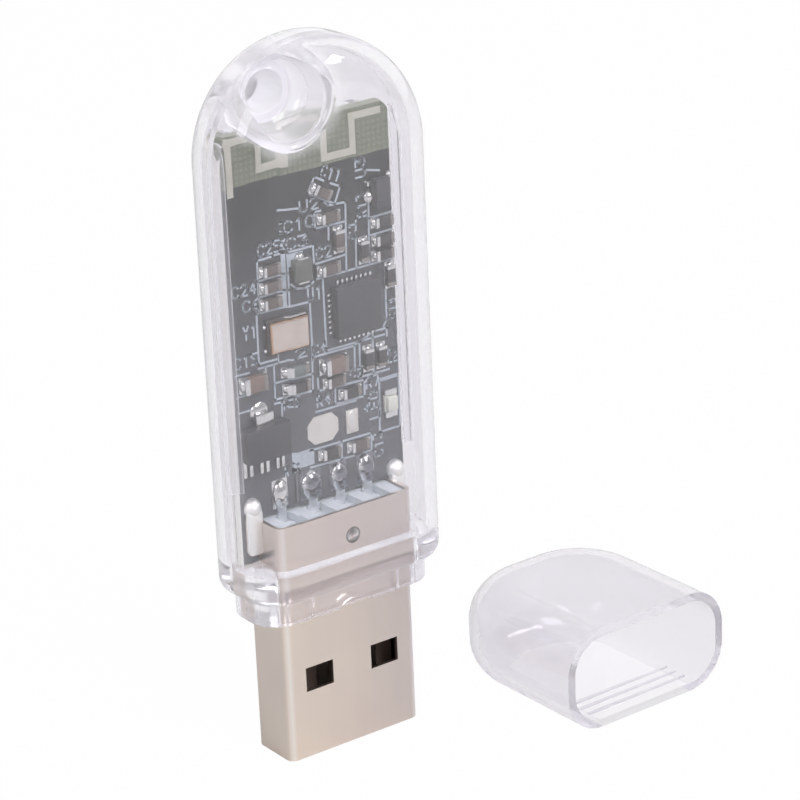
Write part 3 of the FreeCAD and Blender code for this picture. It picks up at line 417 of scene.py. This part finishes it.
# Label, left end, foot, width, height and turn to the left in degrees. Millimetres on the board.
LABELS = [
    ("C25", -4.48, 39.45, 2.1, 0.85, 0), ("C24", -7.0, 36.84, 2.1, 0.85, 0), ("C6", -6.13, 35.6, 1.5, 0.8, 0),
    ("Y1", -6.2, 33.5, 1.1, 0.95, 0), ("C15", -7.15, 31.4, 2.0, 0.85, 0), ("L2", -3.1, 30.95, 2.1, 0.7, 0),
    ("R5", -2.78, 27.2, 0.95, 0.8, 0), ("C4", -0.4, 30.85, 1.2, 0.8, 0), ("C5", 2.85, 28.1, 1.1, 0.75, 0),
    ("R4", -0.27, 26.72, 1.15, 0.8, 0), ("R7", 4.26, 27.0, 1.15, 0.85, 0), ("R6", -3.05, 21.95, 0.85, 0.8, 0),
    ("U1", -0.57, 35.1, 1.15, 0.95, 0), ("C2", 0.35, 38.1, 1.3, 0.85, 0), ("C3", -2.26, 39.45, 1.9, 0.8, 0),
    ("C10", -2.35, 40.75, 2.6, 0.85, 0), ("U2", -0.9, 42.0, 1.6, 0.8, 0),
    ("C11", 1.05, 44.35, 1.7, 0.85, -25),
    ("LED", 5.3, 24.45, 2.1, 0.85, 90), ("C13", 5.5, 21.3, 1.9, 0.85, 90), ("U3", 5.05, 43.5, 1.4, 0.85, 90),
    ("R13", 4.95, 40.45, 1.7, 0.8, 90), ("C1", 4.0, 38.95, 1.3, 0.7, 90), ("C14", 7.25, 31.95, 1.5, 0.7, 90),
    ("R3", 7.15, 28.5, 1.1, 0.8, 90), ("+", 3.95, 25.1, 0.55, 0.6, 0),
]
OUTLINES = [
    [(1.3, 42.3), (1.6, 42.0), (3.15, 41.9), (2.95, 36.65)],
    [(0.9, 41.75), (0.35, 41.75), (0.35, 40.5), (3.0, 40.45)],
    [(1.55, 40.45), (1.5, 39.4)], [(0.1, 36.6), (0.1, 37.8), (2.95, 37.9)], [(-2.5, 42.55), (-0.95, 42.35)],
    [(-3.3, 39.2), (-4.62, 39.2), (-4.68, 35.2)], [(-2.9, 39.25), (-2.2, 39.25), (-2.25, 35.25)],
    [(-4.65, 37.65), (-2.25, 37.65)], [(-4.65, 36.4), (-2.25, 36.4)], [(-2.25, 39.25), (-0.1, 39.25)],
    [(0.1, 39.2), (0.1, 36.6), (-0.3, 36.3), (-0.9, 36.2), (-1.6, 36.35), (-2.0, 36.75)],
    [(0.1, 36.62), (7.25, 36.62)], [(0.8, 36.62), (0.8, 30.9), (6.1, 30.85)],
    [(6.42, 36.6), (6.4, 31.95), (6.05, 31.5)],
    [(4.0, 40.25), (3.85, 36.65)], [(5.25, 42.3), (5.05, 36.65)], [(5.25, 42.1), (5.9, 41.9)],
    [(5.2, 40.2), (7.2, 40.25)], [(5.2, 38.85), (7.2, 38.9)],
    [(-0.45, 30.5), (-0.45, 35.05), (-4.95, 35.2), (-5.0, 31.35), (-3.3, 31.3)],
    [(-7.2, 30.95), (-5.95, 30.9)], [(-7.2, 29.25), (-5.95, 29.25)],
    [(-4.4, 30.95), (-4.4, 29.3), (-4.7, 29.3)],
    [(-5.05, 31.0), (-3.3, 30.95)], [(-0.5, 30.75), (-0.6, 28.1), (-3.65, 28.2), (-3.6, 30.9)],
    [(-3.6, 29.47), (-0.55, 29.43)], [(-3.7, 27.9), (-3.0, 27.85), (-3.05, 26.8)],
    [(-0.45, 30.7), (3.35, 30.65), (3.28, 29.0)], [(-0.1, 28.9), (-0.1, 27.95), (0.4, 27.9)],
    [(3.8, 30.65), (3.72, 28.1)], [(5.05, 31.1), (4.98, 28.0)], [(3.7, 28.05), (6.4, 28.0)],
    [(3.4, 30.7), (5.2, 31.35), (6.35, 31.3), (6.35, 30.7)],
    [(1.42, 27.86), (4.1, 27.75), (4.05, 26.45), (1.36, 26.5), (1.42, 27.86)], [(-0.4, 26.35), (3.2, 26.3)],
    [(5.45, 27.5), (5.3, 23.2), (7.2, 23.2), (7.25, 27.4)], [(-6.1, 28.0), (-7.15, 28.0), (-7.15, 26.6)],
    [(-1.12, 23.45), (4.5, 23.35), (4.45, 21.95), (3.7, 21.95)], [(-1.15, 22.1), (2.8, 21.95)],
    [(1.75, 23.4), (1.7, 22.0)],
    [(-0.15, 43.3), (0.53, 44.4), (1.3, 43.95)], [(1.95, 43.6), (2.75, 43.2), (2.2, 41.98), (-0.15, 43.3)],
    [(5.0, 43.95), (6.3, 43.65)],
]
SOLID_PRINT = [(-1.83, 38.1, -1.13, 39.1), (-2.1, 22.3, -1.2, 23.6), (5.45, 27.2, 7.25, 27.5),
               (4.95, 42.95, 5.1, 43.1)]


def new_piece(name, bm, materials, replaced=()):
    """Object of the finished mesh, in metres, that rides on the stick and may stand for CAD nodes."""
    bmesh.ops.recalc_face_normals(bm, faces=bm.faces)
    bm.transform(Matrix.Scale(MM, 4))
    mesh = bpy.data.meshes.new(name)
    bm.to_mesh(mesh)
    bm.free()
    for material in materials:
        mesh.materials.append(material)
    mesh.polygons.foreach_set("use_smooth", [True] * len(mesh.polygons))
    mesh.set_sharp_from_angle(angle=math.radians(40))
    thing = bpy.data.objects.new(name, mesh)
    bpy.context.collection.objects.link(thing)
    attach(thing, "root")
    if replaced:
        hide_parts(*replaced)


def stroke(bm, start, end, width):
    """Flat bar of ink between two places on the board's front."""
    (x1, z1), (x2, z2) = start, end
    length = math.hypot(x2 - x1, z2 - z1)
    ux, uz = (x2 - x1) / length, (z2 - z1) / length
    half = width / 2
    corners = []
    for along_x, along_z, side in ((x1 - ux * half, z1 - uz * half, -1), (x2 + ux * half, z2 + uz * half, -1),
                                   (x2 + ux * half, z2 + uz * half, 1), (x1 - ux * half, z1 - uz * half, 1)):
        corners.append(bm.verts.new((along_x - uz * half * side, BOARD_FRONT - INK_LIFT,
                                     along_z + ux * half * side)))
    bm.faces.new(corners)


screen_ink, tree = material_tree("screened_epoxy_ink")
place = add(tree, "ShaderNodeTexCoord")
mottle = add(tree, "ShaderNodeTexNoise", {"Scale": 1 / INK_MOTTLE, "Detail": 3.0},
             {"Vector": place.outputs["Object"]})
pale = add(tree, "ShaderNodeMixRGB", {1: linear("#8f98a1"), 2: linear("#bdc6ce")}, {0: mottle.outputs[0]})
ink = add(tree, "ShaderNodeBsdfPrincipled", {"Roughness": 0.6}, {"Base Color": pale.outputs[0]})
add(tree, "ShaderNodeOutputMaterial", links={"Surface": ink.outputs[0]})
bm = bmesh.new()
for points in OUTLINES:
    for start, end in zip(points, points[1:]):
        stroke(bm, start, end, INK_WIDTH)
for x1, z1, x2, z2 in SOLID_PRINT:
    stroke(bm, (x1 + (z2 - z1) / 2, (z1 + z2) / 2), (x2 - (z2 - z1) / 2 + 0.001, (z1 + z2) / 2), z2 - z1)
for text, left, foot, width, tall, turn in LABELS:
    letter = (width - LETTER_GAP * (len(text) - 1)) / len(text)
    cosine, sine = math.cos(math.radians(turn)), math.sin(math.radians(turn))
    for index, sign in enumerate(text):
        for points in GLYPHS[sign]:
            placed = []
            for x, z in points:
                u, v = index * (letter + LETTER_GAP) + x * letter, z * tall
                placed.append((left + u * cosine - v * sine, foot + u * sine + v * cosine))
            for start, end in zip(placed, placed[1:]):
                stroke(bm, start, end, LETTER_WIDTH)
new_piece("board_print", bm, [screen_ink])

# Chip resistors, capacitors and the inductor: a fired ceramic block between two tinned ends, each soldered to
# its pad. Capacitors are matt brown, resistors have a black glass coat, and the inductor is grey. The grain of
# the ceramic is too fine to see, so it is drawn 0.15 mm coarse.
CERAMIC_GRAIN = 0.15 * MM
# Length, width, height and end cap of the two sizes.
LARGE_CHIP = (2.0, 1.25, 0.8, 0.4)
SMALL_CHIP = (1.6, 0.8, 0.5, 0.3)
LARGE_FROM = 0.7
END_LAP = 0.1
BODY_INSET = 0.03
PAD_REACH = 0.28
PAD_HEIGHT = 0.14
EDGE_ROUND = 0.05
TURNED = {"capacitor_c11": 30, "capacitor_c1": 90, "resistor_r13": 90, "resistor_r10": 90, "resistor_r3": 90,
          "resistor_r9": 90}


def fired_ceramic(name, light, dark, roughness):
    """Ceramic or moulded compound with a fine grain in its colour."""
    material, tree = material_tree(name)
    place = add(tree, "ShaderNodeTexCoord")
    grain = add(tree, "ShaderNodeTexNoise", {"Scale": 1 / CERAMIC_GRAIN, "Detail": 3.0},
                {"Vector": place.outputs["Object"]})
    shade = add(tree, "ShaderNodeMixRGB", {1: linear(light), 2: linear(dark)}, {0: grain.outputs[0]})
    body = add(tree, "ShaderNodeBsdfPrincipled", {"Roughness": roughness}, {"Base Color": shade.outputs[0]})
    add(tree, "ShaderNodeOutputMaterial", links={"Surface": body.outputs[0]})
    return material


def corners_of(name):
    """Lower and upper corner of a CAD piece, in millimetres."""
    return [Vector(corner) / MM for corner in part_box(name)]


def block(bm, low, high, rounding, finish):
    """Box between two corners, in millimetres, with rounded edges, in the piece's material of that number."""
    middle = [(a + b) / 2 for a, b in zip(low, high)]
    made = bmesh.ops.create_cube(bm, size=1.0)["verts"]
    bmesh.ops.scale(bm, vec=[b - a for a, b in zip(low, high)], verts=made)
    bmesh.ops.translate(bm, vec=middle, verts=made)
    faces = {face for vert in made for face in vert.link_faces}
    for face in faces:
        face.material_index = finish
    if rounding:
        edges = list({item for face in faces for item in face.edges})
        bmesh.ops.bevel(bm, geom=edges, offset=rounding, segments=2, profile=0.5, affect="EDGES",
                        clamp_overlap=True, material=finish)


def mound(bm, middle, half_x, half_z, tall, finish):
    """Rounded mound of solder on the board's front, in millimetres."""
    made = bmesh.ops.create_uvsphere(bm, u_segments=24, v_segments=16, radius=1.0)["verts"]
    bmesh.ops.scale(bm, vec=(half_x, tall, half_z), verts=made)
    bmesh.ops.translate(bm, vec=middle, verts=made)
    for face in {face for vert in made for face in vert.link_faces}:
        face.material_index = finish
    hidden = [vert for vert in made if vert.co.y > middle[1] + 0.001]
    bmesh.ops.delete(bm, geom=hidden, context="VERTS")


large_ceramic = fired_ceramic("brown_titanate_ceramic", "#86736a", "#67584f", 0.4)
small_ceramic = fired_ceramic("grey_titanate_ceramic", "#655a55", "#4a423f", 0.4)
resistor_glass = fired_ceramic("black_glass_on_alumina", "#2b2a2b", "#3a3637", 0.3)
ferrite = fired_ceramic("grey_ferrite", "#6a7472", "#5b6462", 0.5)
# Painted shade: a darker copy of the tin, used for one end of each chip.
shaded_end_tin = coated_metal("painted_shade_tin", "#a8a29d", "#86807c", 0.45)
chip_nodes = [name for name in nodes if name.startswith(("capacitor", "resistor", "inductor"))]
for name in chip_nodes:
    low, high = corners_of(name)
    middle = (low + high) / 2
    large = high.y - low.y > LARGE_FROM
    length, width, tall, end = LARGE_CHIP if large else SMALL_CHIP
    capacitor_ceramic = large_ceramic if large else small_ceramic
    ceramic = {"c": capacitor_ceramic, "r": resistor_glass, "i": ferrite}[name[0]]
    bm = bmesh.new()
    half, side = length / 2, width / 2
    block(bm, (-half + END_LAP, -tall + BODY_INSET, -side + BODY_INSET),
          (half - END_LAP, 0, side - BODY_INSET), EDGE_ROUND, 0)
    for sign in (-1, 1):
        inner, outer = sorted((sign * (half - end), sign * half))
        # The end on the chip's +x side, before it is turned, gets the darker tin, a painted shade.
        block(bm, (inner, -tall, -side), (outer, 0, side), EDGE_ROUND, 1 if sign < 0 else 2)
        inner, outer = sorted((sign * (half - END_LAP), sign * (half + PAD_REACH)))
        block(bm, (inner, -PAD_HEIGHT, -side - 0.04), (outer, 0, side + 0.04), PAD_HEIGHT * 0.6, 1)
        mound(bm, (sign * half, 0, 0), PAD_REACH * 0.9, side * 0.85, tall * 0.75, 1)
    bm.transform(Matrix.Translation((middle.x, BOARD_FRONT, middle.z))
                 @ Matrix.Rotation(math.radians(TURNED.get(name, 0)), 4, "Y"))
    new_piece(name + "_chip", bm, [ceramic, tin_solder, shaded_end_tin], [name])

# Radio chip: a flat package of black moulding compound, matt and a little grey, with eight pads along each
# side. It is soldered flat, and solder has crept up from each pad and shows as a row of bright ticks.
RADIO_HALF = 2.0
RADIO_HEIGHT = 0.8
RADIO_PITCH = 0.42
TICK_REACH = 0.45
TICK_HALF = 0.11
TICK_HEIGHT = 0.2
moulding_compound = fired_ceramic("black_moulding_compound", "#363538", "#424144", 0.5)
low, high = corners_of("radio_chip")
middle = (low + high) / 2
bm = bmesh.new()
block(bm, (-RADIO_HALF, -RADIO_HEIGHT, -RADIO_HALF), (RADIO_HALF, -0.02, RADIO_HALF), 0.06, 0)
for index in range(8):
    shift = (index - 3.5) * RADIO_PITCH
    for sign in (-1, 1):
        inner, outer = sorted((sign * (RADIO_HALF - 0.1), sign * (RADIO_HALF + TICK_REACH)))
        block(bm, (inner, -TICK_HEIGHT, shift - TICK_HALF), (outer, 0, shift + TICK_HALF), 0.06, 1)
        block(bm, (shift - TICK_HALF, -TICK_HEIGHT, inner), (shift + TICK_HALF, 0, outer), 0.06, 1)
bm.transform(Matrix.Translation((middle.x, BOARD_FRONT, middle.z)))
new_piece("radio_package", bm, [moulding_compound, tin_solder], ["radio_chip"])

# Crystal: a fired ceramic base closed by a plated lid of pale warm metal, with a soft shine. The weld seam
# round the lid has a gold tint, and the base is dark. Solder shows above the lid and at the left corners.
low, high = corners_of("crystal")
kovar_lid = coated_metal("nickel_plated_kovar", "#e6dad0", "#d0c1b6", 0.25)
lid_weld = coated_metal("gold_weld_seam", "#deb799", "#c99f80", 0.3)
base_ceramic = fired_ceramic("dark_alumina", "#2c2726", "#3c3634", 0.5)
bm = bmesh.new()
block(bm, (low.x - 0.1, low.y + 0.3, low.z), (high.x, high.y, high.z + 0.28), 0.05, 0)
block(bm, (low.x + 0.08, low.y + 0.04, low.z + 0.15), (high.x - 0.17, low.y + 0.35, high.z + 0.02), 0.1, 3)
block(bm, (low.x + 0.2, low.y, low.z + 0.27), (high.x - 0.25, low.y + 0.2, high.z - 0.07), 0.06, 1)
block(bm, (low.x + 1.4, low.y + 0.2, high.z + 0.1), (high.x - 0.25, low.y + 0.5, high.z + 0.24), 0.05, 2)
for z in (low.z + 0.35, high.z - 0.3):
    mound(bm, (low.x - 0.1, high.y, z), 0.2, 0.2, 0.3, 2)
new_piece("crystal_package", bm, [base_ceramic, kovar_lid, tin_solder, lid_weld], ["crystal"])

# Regulator: a body of the same moulding compound, with three tinned leads below and a wide tab above that
# takes its heat to the board. All are soldered down, the tab's end under a round of bright solder. Each lead
# has a slot along its middle.
low, high = corners_of("regulator")
REGULATOR_FOOT = 24.2
REGULATOR_TOP = 26.8
TAB_HALF = 0.8
LEAD_SPACING = 1.5
LEAD_SLOT = 0.27
LEAD_HALF = 0.16
bm = bmesh.new()
middle_x = (low.x + high.x) / 2
block(bm, (low.x, low.y, REGULATOR_FOOT), (high.x, BOARD_FRONT - 0.1, REGULATOR_TOP), 0.14, 0)
mound(bm, (middle_x - 0.1, BOARD_FRONT, high.z - 0.85), 0.85, 0.85, 0.35, 1)
block(bm, (middle_x - TAB_HALF, BOARD_FRONT - 0.75, REGULATOR_TOP - 0.2),
      (middle_x + TAB_HALF, BOARD_FRONT - 0.35, high.z - 0.75), 0.1, 1)
for shift in (-LEAD_SPACING, 0, LEAD_SPACING):
    for side in (-LEAD_SLOT, LEAD_SLOT):
        block(bm, (middle_x + shift + side - LEAD_HALF, BOARD_FRONT - 0.3, low.z - 0.25),
              (middle_x + shift + side + LEAD_HALF, BOARD_FRONT, REGULATOR_FOOT + 0.1), 0.06, 1)
new_piece("regulator_package", bm, [moulding_compound, tin_solder], ["regulator"])

# Supply chip: a small package of the same moulding compound, with thin tinned leads at both sides.
# It is soldered flat to the board, and the solder at two of its leads stands up as a bright mound.
low, high = corners_of("supply_chip")
bm = bmesh.new()
block(bm, (low.x + 0.4, low.y, low.z), (high.x - 0.4, BOARD_FRONT - 0.05, high.z), 0.08, 0)
for x, z in ((low.x + 0.25, low.z + 0.55), (high.x - 0.25, low.z + 0.55),
             (high.x - 0.25, (low.z + high.z) / 2),
             (low.x + 0.25, high.z - 0.35), (high.x - 0.25, high.z - 0.2)):
    block(bm, (x - 0.25, BOARD_FRONT - 0.2, z - 0.2), (x + 0.25, BOARD_FRONT, z + 0.2), 0.05, 1)
mound(bm, (low.x + 0.2, BOARD_FRONT, low.z + 0.85), 0.55, 0.5, 0.45, 1)
mound(bm, (high.x - 0.12, BOARD_FRONT, high.z - 0.05), 0.28, 0.36, 0.4, 1)
new_piece("supply_package", bm, [moulding_compound, tin_solder], ["supply_chip"])

# Antenna filter: a block of low-fired glass ceramic, matt olive grey, with metal printed round its two ends.
# It is soldered flat between the radio chip and the antenna, with a mound of solder at its upper end.
low, high = corners_of("antenna_filter")
glass_ceramic = fired_ceramic("low_fired_glass_ceramic", "#5f615a", "#4b4d4a", 0.4)
bm = bmesh.new()
block(bm, (low.x + 0.05, low.y, low.z + 0.12), (high.x - 0.05, high.y, high.z - 0.12), 0.06, 0)
for z in (low.z, high.z - 0.35):
    block(bm, (low.x + 0.35, low.y + 0.02, z), (high.x - 0.35, high.y, z + 0.35), 0.05, 1)
mound(bm, ((low.x + high.x) / 2, BOARD_FRONT, high.z), 0.4, 0.3, 0.4, 1)
new_piece("filter_block", bm, [glass_ceramic, tin_solder], ["antenna_filter"])

# Status lamp: a lens of cloudy epoxy resin, cast on a base of the same colour between two tinned ends.
# It is soldered flat to the board. Unlit, the resin looks pale and waxy.
low, high = corners_of("status_lamp")
lamp_resin = fired_ceramic("cloudy_epoxy_resin", "#d6d7ce", "#c5c8be", 0.25)
bm = bmesh.new()
block(bm, (low.x, low.y + 0.35, low.z + 0.3), (high.x, high.y, high.z - 0.3), 0.04, 0)
block(bm, (low.x + 0.08, low.y, low.z + 0.42), (high.x - 0.08, high.y, high.z - 0.42), 0.12, 0)
for z1, z2 in ((low.z - 0.15, low.z + 0.38), (high.z - 0.38, high.z + 0.15)):
    block(bm, (low.x, low.y + 0.25, z1), (high.x, high.y, z2), 0.08, 1)
new_piece("lamp_package", bm, [lamp_resin, tin_solder], ["status_lamp"])

# Solder at the plug: a smooth mound over each contact's tail, as bright as a mirror, and a long pale one over
# each of the shell's ears. The crown of a mound, where it faces the front, is painted grey, a painted shade of
# the dark reflection in its middle, and its rim is left bright. The small pad beside the test pad holds a flat
# pool.
WIDE_MOUND = 0.95
NARROW_MOUND = 0.78
SOLDER_WAVES = 0.7 * MM
mirror_solder, tree = material_tree("reflowed_tin_solder")
facing = add(tree, "ShaderNodeNewGeometry")
face = add(tree, "ShaderNodeSeparateXYZ", links={0: facing.outputs["Normal"]})
front_on = add(tree, "ShaderNodeMath", {"operation": "ABSOLUTE"}, {0: face.outputs["Y"]})
# Painted shade: the crown, where the mound faces the front, is painted grey.
painted_crown_shade = add(tree, "ShaderNodeMapRange", {"From Min": 0.4, "From Max": 0.9}, {"Value": front_on.outputs[0]})
place = add(tree, "ShaderNodeTexCoord")
waves = add(tree, "ShaderNodeTexNoise", {"Scale": 1 / SOLDER_WAVES, "Detail": 2.0},
            {"Vector": place.outputs["Object"]})
relief = add(tree, "ShaderNodeBump", {"Strength": 0.5, "Distance": 0.15 * MM}, {"Height": waves.outputs[0]})
shade = add(tree, "ShaderNodeMixRGB", {1: linear("#ffffff"), 2: linear("#83838c")},
            {0: painted_crown_shade.outputs["Result"]})
metal = add(tree, "ShaderNodeBsdfPrincipled", {"Metallic": 1.0, "Roughness": 0.08},
            {"Base Color": shade.outputs[0], "Normal": relief.outputs[0]})
add(tree, "ShaderNodeOutputMaterial", links={"Surface": metal.outputs[0]})
for number in range(1, 5):
    low, high = corners_of(f"contact_solder_{number}")
    middle = (low + high) / 2
    bm = bmesh.new()
    width = WIDE_MOUND if number == 2 else NARROW_MOUND
    length = (high.z - low.z) / 2
    rise = BOARD_FRONT - low.y + 0.15
    mound(bm, (middle.x, BOARD_FRONT, middle.z), width, length, rise, 0)
    mound(bm, (middle.x + 0.05, BOARD_FRONT, middle.z - length * 0.5), width * 0.8, length * 0.65,
          rise * 0.9, 0)
    block(bm, (middle.x - width, BOARD_FRONT - 0.07, low.z), (middle.x + width, BOARD_FRONT, high.z), 0.03, 0)
    finish = tin_solder if number == 1 else mirror_solder
    new_piece(f"contact_mound_{number}", bm, [finish], [f"contact_solder_{number}"])
thick_solder = coated_metal("thick_tin_solder", "#ffffff", "#fbfbf4", 0.5)
EAR_SOLDER_FOOT = 16.7
EAR_SOLDER_REACH = 0.7
EAR_SOLDER_SIDES = (5.75, 7.15)
EAR_SOLDER_ROUND = 0.34
for side in ("left", "right"):
    low, high = corners_of(f"shell_solder_{side}")
    inner, outer = sorted(math.copysign(x, low.x) for x in EAR_SOLDER_SIDES)
    bm = bmesh.new()
    top = high.z - EAR_SOLDER_REACH
    block(bm, (inner, BOARD_FRONT - EAR_SOLDER_REACH, EAR_SOLDER_FOOT), (outer, BOARD_FRONT, top),
          EAR_SOLDER_ROUND, 0)
    mound(bm, ((inner + outer) / 2, BOARD_FRONT, top), 0.75, EAR_SOLDER_REACH + 0.1,
          EAR_SOLDER_REACH + 0.15, 0)
    new_piece(f"ear_mound_{side}", bm, [thick_solder], [f"shell_solder_{side}"])
low, high = corners_of("solder_bridge")
bm = bmesh.new()
block(bm, tuple(low), tuple(high), 0.05, 0)
mound(bm, ((low.x + high.x) / 2, low.y, (low.z + high.z) / 2), (high.x - low.x) * 0.42,
      (high.z - low.z) * 0.45, 0.12, 0)
new_piece("solder_pool", bm, [tinned_copper], ["solder_bridge"])

# Cap ridges: low ribs of the cap's own clear plastic, moulded across its inner floor just inside the mouth.
# They grip the case's neck, and show as pale lines through the mouth.
CAP_MOUTH = (20.1, -13.0)
CAP_TURN = math.radians(1)
CAP_WALL = 0.7
RIDGE_HALF = 5.0
RIDGE_RISE = 0.14
RIDGE_PITCH = 1.05
RIDGE_START = 1.2
RIDGE_SIDE = 0.16
RIDGE_ROOT = 0.05
bm = bmesh.new()
for index in range(3):
    inward = RIDGE_START + index * RIDGE_PITCH
    block(bm, (-RIDGE_HALF, inward - RIDGE_SIDE, CAP_WALL - RIDGE_ROOT),
          (RIDGE_HALF, inward + RIDGE_SIDE, CAP_WALL + RIDGE_RISE), 0.1, 0)
bm.transform(Matrix.Translation((*CAP_MOUTH, 0)) @ Matrix.Rotation(CAP_TURN, 4, "Z"))
new_piece("cap_ridges", bm, [cap_polycarbonate])
